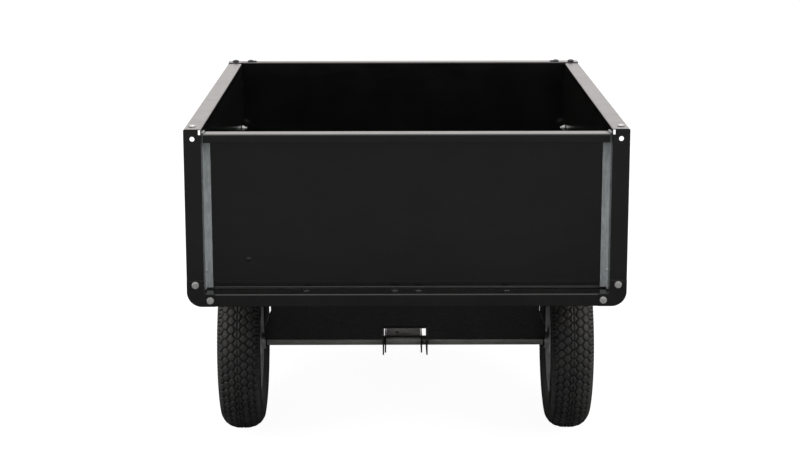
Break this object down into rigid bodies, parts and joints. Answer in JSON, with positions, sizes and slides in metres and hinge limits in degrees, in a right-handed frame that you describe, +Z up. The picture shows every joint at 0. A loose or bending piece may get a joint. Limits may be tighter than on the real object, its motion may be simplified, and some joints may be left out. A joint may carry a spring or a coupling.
{
  "type": "tipping garden trailer",
  "caption": "Two-wheeled garden trailer: a folded sheet-steel tub that tips on its axle, with a slide-out tailgate, pneumatic wheels and a drawbar with a tow clevis.",
  "frame": {"origin": "floor level, under the middle of the parked trailer's outline", "axes": "+Y towards the hitch, +X to the trailer's right seen from behind, +Z up"},
  "size_m": [0.812, 1.4596, 0.7956],
  "materials": {
    "black_sheet": "gloss powder coat",
    "black_plate": "satin powder coat",
    "zinc_sheet": "galvanised",
    "zinc_hardware": "zinc plated",
    "tyre_rubber": "moulded rubber",
    "rim_silver": "silver paint",
    "valve_rubber": "moulded rubber"
  },
  "bodies": {
    "drawbar_unit": {"drawbar": "black_plate", "tow_clevis": "black_plate", "latch_bracket": "black_plate", "latch_pin": "zinc_hardware", "latch_lever": "black_plate"},
    "tub": {"side_panel_right": "black_sheet", "side_panel_left": "black_sheet", "floor_panel_right": "black_sheet", "floor_panel_left": "black_sheet", "rear_gusset_right": "black_sheet", "rear_gusset_left": "black_sheet", "front_gusset_right": "black_sheet", "front_gusset_left": "black_sheet", "gusset_bolt_upper_right": "zinc_hardware", "gusset_bolt_upper_left": "zinc_hardware", "gusset_bolt_lower_right": "zinc_hardware", "gusset_bolt_lower_left": "zinc_hardware", "tailgate_guide_right": "zinc_sheet", "tailgate_guide_left": "zinc_sheet", "axle_spacer_right": "zinc_hardware", "axle_spacer_left": "zinc_hardware", "axle_washer_right": "zinc_hardware", "axle_washer_left": "zinc_hardware", "cotter_pin_right": "zinc_hardware", "cotter_pin_left": "zinc_hardware", "front_panel": "black_sheet", "axle_carrier": "black_plate", "pivot_bracket": "black_plate", "axle": "zinc_hardware", "latch_stand": "black_plate"},
    "tailgate_door": {"tailgate": "black_sheet"},
    "wheel_right": {"tyre_right": "tyre_rubber", "rim_right": "rim_silver", "hub_right": "rim_silver", "valve_right": "valve_rubber"},
    "wheel_left": {"tyre_left": "tyre_rubber", "rim_left": "rim_silver", "hub_left": "rim_silver", "valve_left": "valve_rubber"}
  },
  "joints": [
    {"name": "tub_tip", "type": "hinge", "parent": "drawbar_unit", "child": "tub", "pos_m": [0, -0.30497, 0.184], "axis": [1, 0, 0], "range_deg": [0, 42]},
    {"name": "tailgate_slide", "type": "slide", "parent": "tub", "child": "tailgate_door", "axis": [0, 0.2068, 0.9784], "range_m": [0, 0.24]},
    {"name": "wheel_right_spin", "type": "hinge", "parent": "tub", "child": "wheel_right", "pos_m": [0.33975, -0.30497, 0.184], "axis": [1, 0, 0], "continuous": true},
    {"name": "wheel_left_spin", "type": "hinge", "parent": "tub", "child": "wheel_left", "pos_m": [-0.33975, -0.30497, 0.184], "axis": [1, 0, 0], "continuous": true}
  ]
}
